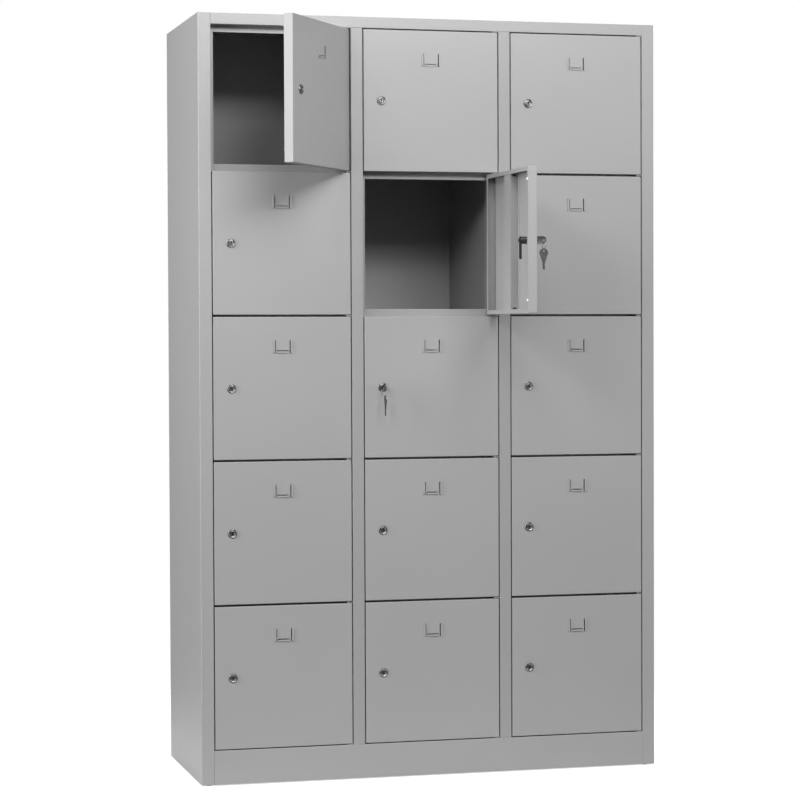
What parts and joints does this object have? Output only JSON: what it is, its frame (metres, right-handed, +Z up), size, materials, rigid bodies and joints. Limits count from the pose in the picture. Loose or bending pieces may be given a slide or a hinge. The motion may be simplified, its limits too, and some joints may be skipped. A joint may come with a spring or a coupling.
{
  "type": "parcel locker",
  "caption": "Grey steel cabinet of small compartments in three columns, each with a right-hung door and cam lock; two doors stand open, keys hang in two locks.",
  "frame": {"origin": "on the floor, at the middle of the back face", "axes": "+X to the right as seen from the front, +Y to the back (the doors face -Y), +Z up"},
  "size_m": [1.15, 0.7753, 1.85],
  "materials": {
    "cabinet_paint": "light grey powder coat, satin",
    "door_paint": "light grey powder coat, satin",
    "inner_paint": "light grey powder coat, satin",
    "hinge_steel": "painted with the cabinet",
    "lock_chrome": "polished",
    "cam_steel": "zinc plated steel",
    "key_nickel": "nickel plated brass, lightly brushed",
    "ring_steel": "bright spring steel wire",
    "foot_plastic": "black glide"
  },
  "bodies": {
    "root": {"side_panel_left": "cabinet_paint", "side_panel_right": "cabinet_paint", "partitions": "cabinet_paint", "top_panel": "cabinet_paint", "plinth": "cabinet_paint", "back_panel": "cabinet_paint", "shelves": "inner_paint", "hinge_tabs": "hinge_steel", "feet": "foot_plastic"},
    "door_c1r1": {"door_c1r1": "door_paint", "lock_body_c1r1": "lock_chrome"},
    "lock_plug_c1r1": {"lock_plug_c1r1": "cam_steel"},
    "door_c1r2": {"door_c1r2": "door_paint", "lock_body_c1r2": "lock_chrome"},
    "lock_plug_c1r2": {"lock_plug_c1r2": "cam_steel"},
    "door_c1r3": {"door_c1r3": "door_paint", "lock_body_c1r3": "lock_chrome"},
    "lock_plug_c1r3": {"lock_plug_c1r3": "cam_steel"},
    "door_c1r4": {"door_c1r4": "door_paint", "lock_body_c1r4": "lock_chrome"},
    "lock_plug_c1r4": {"lock_plug_c1r4": "cam_steel"},
    "door_c1r5": {"door_c1r5": "door_paint", "lock_body_c1r5": "lock_chrome"},
    "lock_plug_c1r5": {"lock_plug_c1r5": "cam_steel"},
    "door_c2r1": {"door_c2r1": "door_paint", "lock_body_c2r1": "lock_chrome"},
    "lock_plug_c2r1": {"lock_plug_c2r1": "cam_steel"},
    "door_c2r2": {"door_c2r2": "door_paint", "lock_body_c2r2": "lock_chrome"},
    "lock_plug_c2r2": {"lock_plug_c2r2": "cam_steel"},
    "door_c2r3": {"door_c2r3": "door_paint", "lock_body_c2r3": "lock_chrome"},
    "lock_plug_c2r3": {"lock_plug_c2r3": "cam_steel"},
    "door_c2r4": {"door_c2r4": "door_paint", "lock_body_c2r4": "lock_chrome"},
    "lock_plug_c2r4": {"lock_plug_c2r4": "cam_steel"},
    "door_c2r5": {"door_c2r5": "door_paint", "lock_body_c2r5": "lock_chrome"},
    "lock_plug_c2r5": {"lock_plug_c2r5": "cam_steel"},
    "door_c3r1": {"door_c3r1": "door_paint", "lock_body_c3r1": "lock_chrome"},
    "lock_plug_c3r1": {"lock_plug_c3r1": "cam_steel"},
    "door_c3r2": {"door_c3r2": "door_paint", "lock_body_c3r2": "lock_chrome"},
    "lock_plug_c3r2": {"lock_plug_c3r2": "cam_steel"},
    "door_c3r3": {"door_c3r3": "door_paint", "lock_body_c3r3": "lock_chrome"},
    "lock_plug_c3r3": {"lock_plug_c3r3": "cam_steel"},
    "door_c3r4": {"door_c3r4": "door_paint", "lock_body_c3r4": "lock_chrome"},
    "lock_plug_c3r4": {"lock_plug_c3r4": "cam_steel"},
    "door_c3r5": {"door_c3r5": "door_paint", "lock_body_c3r5": "lock_chrome"},
    "lock_plug_c3r5": {"lock_plug_c3r5": "cam_steel"},
    "key_c2r2": {"key_c2r2": "key_nickel"},
    "key_ring_c2r2": {"key_ring_c2r2": "ring_steel"},
    "spare_key_c2r2": {"spare_key_c2r2": "key_nickel"},
    "key_c2r3": {"key_c2r3": "key_nickel"},
    "key_ring_c2r3": {"key_ring_c2r3": "ring_steel"},
    "spare_key_c2r3": {"spare_key_c2r3": "key_nickel"}
  },
  "joints": [
    {"name": "door_swing_c1r1", "type": "hinge", "parent": "root", "child": "door_c1r1", "pos_m": [-0.21117, -0.445, 1.4779], "axis": [0, 0, 1], "range_deg": [-54, 56]},
    {"name": "lock_turn_c1r1", "type": "hinge", "parent": "door_c1r1", "child": "lock_plug_c1r1", "pos_m": [-0.37947, -0.67665, 1.6492], "axis": [-0.809, 0.5878, 0], "range_deg": [0, 90]},
    {"name": "door_swing_c1r2", "type": "hinge", "parent": "root", "child": "door_c1r2", "pos_m": [-0.21117, -0.445, 1.1303], "axis": [0, 0, 1], "range_deg": [0, 110]},
    {"name": "lock_turn_c1r2", "type": "hinge", "parent": "door_c1r2", "child": "lock_plug_c1r2", "pos_m": [-0.4975, -0.445, 1.3016], "axis": [0, 1, 0], "range_deg": [0, 90]},
    {"name": "door_swing_c1r3", "type": "hinge", "parent": "root", "child": "door_c1r3", "pos_m": [-0.21117, -0.445, 0.7827], "axis": [0, 0, 1], "range_deg": [0, 110]},
    {"name": "lock_turn_c1r3", "type": "hinge", "parent": "door_c1r3", "child": "lock_plug_c1r3", "pos_m": [-0.4975, -0.445, 0.954], "axis": [0, 1, 0], "range_deg": [0, 90]},
    {"name": "door_swing_c1r4", "type": "hinge", "parent": "root", "child": "door_c1r4", "pos_m": [-0.21117, -0.445, 0.4351], "axis": [0, 0, 1], "range_deg": [0, 110]},
    {"name": "lock_turn_c1r4", "type": "hinge", "parent": "door_c1r4", "child": "lock_plug_c1r4", "pos_m": [-0.4975, -0.445, 0.6064], "axis": [0, 1, 0], "range_deg": [0, 90]},
    {"name": "door_swing_c1r5", "type": "hinge", "parent": "root", "child": "door_c1r5", "pos_m": [-0.21117, -0.445, 0.0875], "axis": [0, 0, 1], "range_deg": [0, 110]},
    {"name": "lock_turn_c1r5", "type": "hinge", "parent": "door_c1r5", "child": "lock_plug_c1r5", "pos_m": [-0.4975, -0.445, 0.2588], "axis": [0, 1, 0], "range_deg": [0, 90]},
    {"name": "door_swing_c2r1", "type": "hinge", "parent": "root", "child": "door_c2r1", "pos_m": [0.16117, -0.445, 1.4779], "axis": [0, 0, 1], "range_deg": [0, 110]},
    {"name": "lock_turn_c2r1", "type": "hinge", "parent": "door_c2r1", "child": "lock_plug_c2r1", "pos_m": [-0.12517, -0.445, 1.6492], "axis": [0, 1, 0], "range_deg": [0, 90]},
    {"name": "door_swing_c2r2", "type": "hinge", "parent": "root", "child": "door_c2r2", "pos_m": [0.16117, -0.445, 1.1303], "axis": [0, 0, 1], "range_deg": [-90, 20]},
    {"name": "lock_turn_c2r2", "type": "hinge", "parent": "door_c2r2", "child": "lock_plug_c2r2", "pos_m": [0.16117, -0.73133, 1.3016], "axis": [-1, 0, 0], "range_deg": [0, 90]},
    {"name": "door_swing_c2r3", "type": "hinge", "parent": "root", "child": "door_c2r3", "pos_m": [0.16117, -0.445, 0.7827], "axis": [0, 0, 1], "range_deg": [0, 110]},
    {"name": "lock_turn_c2r3", "type": "hinge", "parent": "door_c2r3", "child": "lock_plug_c2r3", "pos_m": [-0.12517, -0.445, 0.954], "axis": [0, 1, 0], "range_deg": [0, 90]},
    {"name": "door_swing_c2r4", "type": "hinge", "parent": "root", "child": "door_c2r4", "pos_m": [0.16117, -0.445, 0.4351], "axis": [0, 0, 1], "range_deg": [0, 110]},
    {"name": "lock_turn_c2r4", "type": "hinge", "parent": "door_c2r4", "child": "lock_plug_c2r4", "pos_m": [-0.12517, -0.445, 0.6064], "axis": [0, 1, 0], "range_deg": [0, 90]},
    {"name": "door_swing_c2r5", "type": "hinge", "parent": "root", "child": "door_c2r5", "pos_m": [0.16117, -0.445, 0.0875], "axis": [0, 0, 1], "range_deg": [0, 110]},
    {"name": "lock_turn_c2r5", "type": "hinge", "parent": "door_c2r5", "child": "lock_plug_c2r5", "pos_m": [-0.12517, -0.445, 0.2588], "axis": [0, 1, 0], "range_deg": [0, 90]},
    {"name": "door_swing_c3r1", "type": "hinge", "parent": "root", "child": "door_c3r1", "pos_m": [0.5335, -0.445, 1.4779], "axis": [0, 0, 1], "range_deg": [0, 110]},
    {"name": "lock_turn_c3r1", "type": "hinge", "parent": "door_c3r1", "child": "lock_plug_c3r1", "pos_m": [0.24717, -0.445, 1.6492], "axis": [0, 1, 0], "range_deg": [0, 90]},
    {"name": "door_swing_c3r2", "type": "hinge", "parent": "root", "child": "door_c3r2", "pos_m": [0.5335, -0.445, 1.1303], "axis": [0, 0, 1], "range_deg": [0, 110]},
    {"name": "lock_turn_c3r2", "type": "hinge", "parent": "door_c3r2", "child": "lock_plug_c3r2", "pos_m": [0.24717, -0.445, 1.3016], "axis": [0, 1, 0], "range_deg": [0, 90]},
    {"name": "door_swing_c3r3", "type": "hinge", "parent": "root", "child": "door_c3r3", "pos_m": [0.5335, -0.445, 0.7827], "axis": [0, 0, 1], "range_deg": [0, 110]},
    {"name": "lock_turn_c3r3", "type": "hinge", "parent": "door_c3r3", "child": "lock_plug_c3r3", "pos_m": [0.24717, -0.445, 0.954], "axis": [0, 1, 0], "range_deg": [0, 90]},
    {"name": "door_swing_c3r4", "type": "hinge", "parent": "root", "child": "door_c3r4", "pos_m": [0.5335, -0.445, 0.4351], "axis": [0, 0, 1], "range_deg": [0, 110]},
    {"name": "lock_turn_c3r4", "type": "hinge", "parent": "door_c3r4", "child": "lock_plug_c3r4", "pos_m": [0.24717, -0.445, 0.6064], "axis": [0, 1, 0], "range_deg": [0, 90]},
    {"name": "door_swing_c3r5", "type": "hinge", "parent": "root", "child": "door_c3r5", "pos_m": [0.5335, -0.445, 0.0875], "axis": [0, 0, 1], "range_deg": [0, 110]},
    {"name": "lock_turn_c3r5", "type": "hinge", "parent": "door_c3r5", "child": "lock_plug_c3r5", "pos_m": [0.24717, -0.445, 0.2588], "axis": [0, 1, 0], "range_deg": [0, 90]},
    {"name": "key_pull_c2r2", "type": "slide", "parent": "lock_plug_c2r2", "child": "key_c2r2", "axis": [1, 0, 0], "range_m": [0, 0.024]},
    {"name": "ring_swing_c2r2", "type": "hinge", "parent": "key_c2r2", "child": "key_ring_c2r2", "pos_m": [0.19617, -0.73133, 1.3002], "axis": [0, 1, 0], "range_deg": [-60, 8]},
    {"name": "spare_swing_c2r2", "type": "hinge", "parent": "key_ring_c2r2", "child": "spare_key_c2r2", "pos_m": [0.19617, -0.73133, 1.2792], "axis": [0, 1, 0], "range_deg": [-60, 8]},
    {"name": "key_pull_c2r3", "type": "slide", "parent": "lock_plug_c2r3", "child": "key_c2r3", "axis": [0, -1, 0], "range_m": [0, 0.024]},
    {"name": "ring_swing_c2r3", "type": "hinge", "parent": "key_c2r3", "child": "key_ring_c2r3", "pos_m": [-0.12517, -0.48, 0.9526], "axis": [1, 0, 0], "range_deg": [-60, 8]},
    {"name": "spare_swing_c2r3", "type": "hinge", "parent": "key_ring_c2r3", "child": "spare_key_c2r3", "pos_m": [-0.12517, -0.48, 0.9316], "axis": [1, 0, 0], "range_deg": [-60, 8]}
  ]
}
